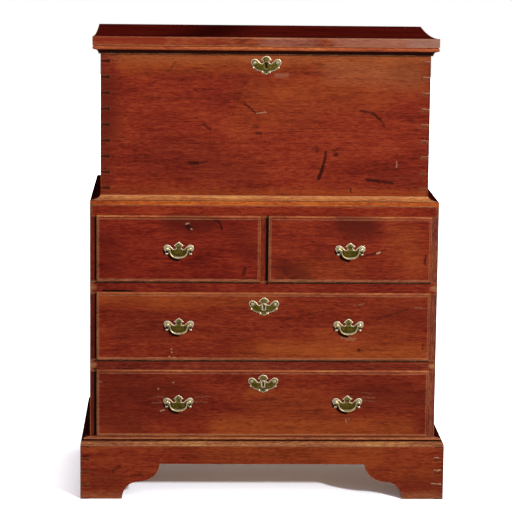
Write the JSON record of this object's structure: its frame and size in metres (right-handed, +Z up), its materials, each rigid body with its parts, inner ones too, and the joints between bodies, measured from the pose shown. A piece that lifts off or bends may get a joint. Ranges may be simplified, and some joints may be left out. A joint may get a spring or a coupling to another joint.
{
  "type": "chest-on-chest",
  "caption": "Mahogany chest in two stages: a lift-lid coffer on a chest of drawers, with bracket feet, brass bail handles and keyhole plates.",
  "frame": {"origin": "on the floor under the middle of the whole object's box", "axes": "+X to the right as seen from the front, +Y to the back, +Z up; the drawers face -Y"},
  "size_m": [1.0696, 0.5936, 1.3569],
  "materials": {
    "mahogany": "old wax polish over red-brown stain, worn at the edges",
    "oak": "plain, dry, planed",
    "pine": "plain, dry, sawn",
    "brass": "aged, rubbed bright at the rims",
    "iron": "dark, wrought"
  },
  "bodies": {
    "case": {"case_left_side": "mahogany", "case_right_side": "mahogany", "case_top": "pine", "case_bottom": "pine", "case_back": "pine", "top_rail": "mahogany", "upper_rail": "mahogany", "lower_rail": "mahogany", "upper_dustboard": "pine", "lower_dustboard": "pine", "drawer_divider": "mahogany", "waist_moulding": "mahogany", "base_front": "mahogany", "base_left": "mahogany", "base_right": "mahogany", "base_moulding": "mahogany", "coffer_front": "mahogany", "coffer_back": "mahogany", "coffer_left_end": "mahogany", "coffer_right_end": "mahogany", "coffer_bottom": "pine", "coffer_escutcheon": "brass", "coffer_lock": "iron", "left_hinge_case_leaf": "brass", "right_hinge_case_leaf": "brass"},
    "lid": {"lid_board": "mahogany", "lid_moulding": "mahogany", "left_hinge_lid_leaf": "brass", "right_hinge_lid_leaf": "brass", "lid_lock_plate": "brass"},
    "lower_long_drawer": {"lower_long_drawer_front": "mahogany", "lower_long_drawer_box": "oak", "lower_long_drawer_bottom": "oak", "lower_long_drawer_left_handle_plate": "brass", "lower_long_drawer_right_handle_plate": "brass", "lower_long_drawer_escutcheon": "brass", "lower_long_drawer_lock": "iron"},
    "upper_long_drawer": {"upper_long_drawer_front": "mahogany", "upper_long_drawer_box": "oak", "upper_long_drawer_bottom": "oak", "upper_long_drawer_left_handle_plate": "brass", "upper_long_drawer_right_handle_plate": "brass", "upper_long_drawer_escutcheon": "brass", "upper_long_drawer_lock": "iron"},
    "left_short_drawer": {"left_short_drawer_front": "mahogany", "left_short_drawer_box": "oak", "left_short_drawer_bottom": "oak", "left_short_drawer_handle_plate": "brass"},
    "right_short_drawer": {"right_short_drawer_front": "mahogany", "right_short_drawer_box": "oak", "right_short_drawer_bottom": "oak", "right_short_drawer_handle_plate": "brass"},
    "lower_long_drawer_left_handle_bail": {"lower_long_drawer_left_handle_bail": "brass"},
    "lower_long_drawer_right_handle_bail": {"lower_long_drawer_right_handle_bail": "brass"},
    "upper_long_drawer_left_handle_bail": {"upper_long_drawer_left_handle_bail": "brass"},
    "upper_long_drawer_right_handle_bail": {"upper_long_drawer_right_handle_bail": "brass"},
    "left_short_drawer_handle_bail": {"left_short_drawer_handle_bail": "brass"},
    "right_short_drawer_handle_bail": {"right_short_drawer_handle_bail": "brass"},
    "lower_long_drawer_bolt": {"lower_long_drawer_bolt": "brass"},
    "upper_long_drawer_bolt": {"upper_long_drawer_bolt": "brass"}
  },
  "joints": [
    {"name": "lid_hinge", "type": "hinge", "parent": "case", "child": "lid", "pos_m": [0, 0.2923, 1.33075], "axis": [-1, 0, 0], "range_deg": [0, 100]},
    {"name": "lower_long_drawer_slide", "type": "slide", "parent": "case", "child": "lower_long_drawer", "axis": [0, -1, 0], "range_m": [0, 0.4]},
    {"name": "upper_long_drawer_slide", "type": "slide", "parent": "case", "child": "upper_long_drawer", "axis": [0, -1, 0], "range_m": [0, 0.4]},
    {"name": "left_short_drawer_slide", "type": "slide", "parent": "case", "child": "left_short_drawer", "axis": [0, -1, 0], "range_m": [0, 0.4]},
    {"name": "right_short_drawer_slide", "type": "slide", "parent": "case", "child": "right_short_drawer", "axis": [0, -1, 0], "range_m": [0, 0.4]},
    {"name": "lower_long_drawer_left_handle_swing", "type": "hinge", "parent": "lower_long_drawer", "child": "lower_long_drawer_left_handle_bail", "pos_m": [-0.248, -0.2896, 0.2898], "axis": [-1, 0, 0], "range_deg": [0, 95]},
    {"name": "lower_long_drawer_right_handle_swing", "type": "hinge", "parent": "lower_long_drawer", "child": "lower_long_drawer_right_handle_bail", "pos_m": [0.248, -0.2896, 0.2898], "axis": [-1, 0, 0], "range_deg": [0, 95]},
    {"name": "upper_long_drawer_left_handle_swing", "type": "hinge", "parent": "upper_long_drawer", "child": "upper_long_drawer_left_handle_bail", "pos_m": [-0.248, -0.2896, 0.5198], "axis": [-1, 0, 0], "range_deg": [0, 95]},
    {"name": "upper_long_drawer_right_handle_swing", "type": "hinge", "parent": "upper_long_drawer", "child": "upper_long_drawer_right_handle_bail", "pos_m": [0.248, -0.2896, 0.5198], "axis": [-1, 0, 0], "range_deg": [0, 95]},
    {"name": "left_short_drawer_handle_swing", "type": "hinge", "parent": "left_short_drawer", "child": "left_short_drawer_handle_bail", "pos_m": [-0.2495, -0.2896, 0.7443], "axis": [-1, 0, 0], "range_deg": [0, 95]},
    {"name": "right_short_drawer_handle_swing", "type": "hinge", "parent": "right_short_drawer", "child": "right_short_drawer_handle_bail", "pos_m": [0.2495, -0.2896, 0.7443], "axis": [-1, 0, 0], "range_deg": [0, 95]},
    {"name": "lower_long_drawer_bolt_slide", "type": "slide", "parent": "lower_long_drawer", "child": "lower_long_drawer_bolt", "axis": [0, 0, 1], "range_m": [0, 0.008]},
    {"name": "upper_long_drawer_bolt_slide", "type": "slide", "parent": "upper_long_drawer", "child": "upper_long_drawer_bolt", "axis": [0, 0, 1], "range_m": [0, 0.008]}
  ]
}
